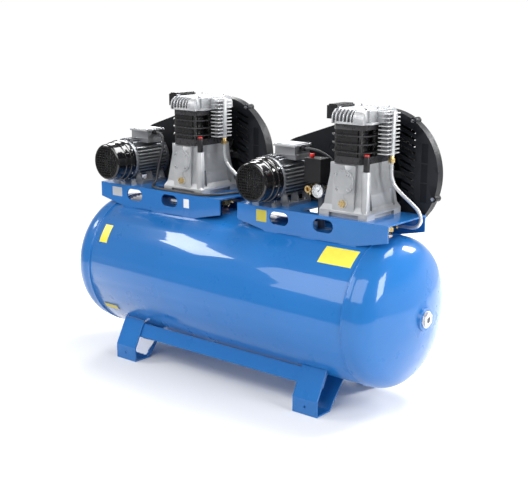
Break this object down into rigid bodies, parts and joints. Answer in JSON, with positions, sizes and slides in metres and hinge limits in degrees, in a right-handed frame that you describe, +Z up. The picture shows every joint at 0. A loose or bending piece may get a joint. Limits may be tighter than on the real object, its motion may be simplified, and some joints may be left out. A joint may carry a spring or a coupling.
{
  "type": "twin stack air compressor",
  "caption": "Horizontal air receiver on feet with two belt-driven piston pumps, their motors, guards and a pressure switch.",
  "frame": {"origin": "on the floor under the middle of the tank", "axes": "+X along the tank to the viewer's right, -Y the front, +Z up"},
  "size_m": [1.475, 0.504, 0.991],
  "materials": {
    "blue_paint": "glossy blue enamel",
    "bright_steel": "zinc plated",
    "brass": "machined brass",
    "red_plastic": "moulded red",
    "grey_steel": "grey pipe",
    "black_plastic": "moulded black",
    "gauge_glass": "clear lens",
    "needle_black": "black",
    "cable_rubber": "dark grey sheath",
    "cast_aluminium": "sand cast, satin",
    "tube_steel": "drawn tube with braid",
    "copper_winding": "wound core",
    "motor_aluminium": "die cast",
    "gloss_black": "glossy black",
    "black_iron": "black painted casting",
    "dark_iron": "bare cast iron",
    "machined_steel": "machined",
    "piston_alloy": "machined",
    "belt_rubber": "belt rubber",
    "guard_plastic": "moulded black"
  },
  "bodies": {
    "root": {"tank_shell": "blue_paint", "tank_ends": "blue_paint", "tank_feet": "blue_paint", "foot_rails": "blue_paint", "tank_plugs": "bright_steel", "drain_valve": "brass", "safety_valve": "brass", "switch_post": "grey_steel", "switch_base": "black_plastic", "switch_cover": "black_plastic", "gauge_case": "bright_steel", "gauge_glass": "gauge_glass", "outlet_fitting": "brass", "left_motor_cable": "cable_rubber", "right_motor_cable": "cable_rubber", "cable_glands": "black_plastic", "bearing_covers": "cast_aluminium", "breathers": "black_plastic", "air_filters": "black_plastic", "discharge_tubes": "tube_steel", "tube_fittings": "brass", "ball_bearings": "bright_steel", "stators": "copper_winding", "fasteners": "bright_steel", "left_base_plate": "blue_paint", "left_motor_housing": "motor_aluminium", "left_fan_cover": "gloss_black", "left_terminal_box": "motor_aluminium", "left_crankcase": "cast_aluminium", "left_cylinder_block": "black_iron", "left_cylinder_head": "cast_aluminium", "left_drive_belt": "belt_rubber", "left_guard_inner": "guard_plastic", "left_guard_outer": "guard_plastic", "right_base_plate": "blue_paint", "right_motor_housing": "motor_aluminium", "right_fan_cover": "gloss_black", "right_terminal_box": "motor_aluminium", "right_crankcase": "cast_aluminium", "right_cylinder_block": "black_iron", "right_cylinder_head": "cast_aluminium", "right_drive_belt": "belt_rubber", "right_guard_inner": "guard_plastic", "right_guard_outer": "guard_plastic"},
    "left_crank": {"left_crankshaft": "machined_steel", "left_flywheel": "dark_iron"},
    "left_rotor": {"left_motor_rotor": "machined_steel", "left_motor_pulley": "dark_iron"},
    "left_piston_front": {"left_front_piston": "piston_alloy"},
    "left_piston_rear": {"left_rear_piston": "piston_alloy"},
    "right_crank": {"right_crankshaft": "machined_steel", "right_flywheel": "dark_iron"},
    "right_rotor": {"right_motor_rotor": "machined_steel", "right_motor_pulley": "dark_iron"},
    "right_piston_front": {"right_front_piston": "piston_alloy"},
    "right_piston_rear": {"right_rear_piston": "piston_alloy"},
    "knob": {"switch_knob": "red_plastic"},
    "needle": {"gauge_needle": "needle_black"},
    "drain_tap": {"drain_handle": "red_plastic"},
    "relief_ring": {"safety_ring": "bright_steel"}
  },
  "joints": [
    {"name": "left_crank_turn", "type": "hinge", "parent": "root", "child": "left_crank", "pos_m": [-0.23, 0, 0.757], "axis": [0, 1, 0], "continuous": true},
    {"name": "left_motor_turn", "type": "hinge", "parent": "root", "child": "left_rotor", "pos_m": [-0.553, 0, 0.729], "axis": [0, 1, 0], "continuous": true},
    {"name": "left_front_piston_slide", "type": "slide", "parent": "root", "child": "left_piston_front", "axis": [0, 0, 1], "range_m": [-0.046, 0]},
    {"name": "left_rear_piston_slide", "type": "slide", "parent": "root", "child": "left_piston_rear", "axis": [0, 0, 1], "range_m": [0, 0.046]},
    {"name": "right_crank_turn", "type": "hinge", "parent": "root", "child": "right_crank", "pos_m": [0.468, 0, 0.757], "axis": [0, 1, 0], "continuous": true},
    {"name": "right_motor_turn", "type": "hinge", "parent": "root", "child": "right_rotor", "pos_m": [0.145, 0, 0.729], "axis": [0, 1, 0], "continuous": true},
    {"name": "right_front_piston_slide", "type": "slide", "parent": "root", "child": "right_piston_front", "axis": [0, 0, 1], "range_m": [-0.046, 0]},
    {"name": "right_rear_piston_slide", "type": "slide", "parent": "root", "child": "right_piston_rear", "axis": [0, 0, 1], "range_m": [0, 0.046]},
    {"name": "switch_knob_pull", "type": "slide", "parent": "root", "child": "knob", "axis": [0, 0, 1], "range_m": [0, 0.008]},
    {"name": "gauge_needle_turn", "type": "hinge", "parent": "root", "child": "needle", "pos_m": [0.3455, -0.064, 0.709], "axis": [0, 1, 0], "range_deg": [-220, 50]},
    {"name": "drain_tap_turn", "type": "hinge", "parent": "root", "child": "drain_tap", "pos_m": [0, 0, 0.0455], "axis": [0, 0, 1], "range_deg": [0, 90]},
    {"name": "relief_ring_pull", "type": "slide", "parent": "root", "child": "relief_ring", "axis": [0, 0, 1], "range_m": [0, 0.004]}
  ],
  "couplings": [
    {"joint": "left_motor_turn", "follows": "left_crank_turn", "ratio": 2.851},
    {"joint": "right_motor_turn", "follows": "right_crank_turn", "ratio": 2.851}
  ]
}
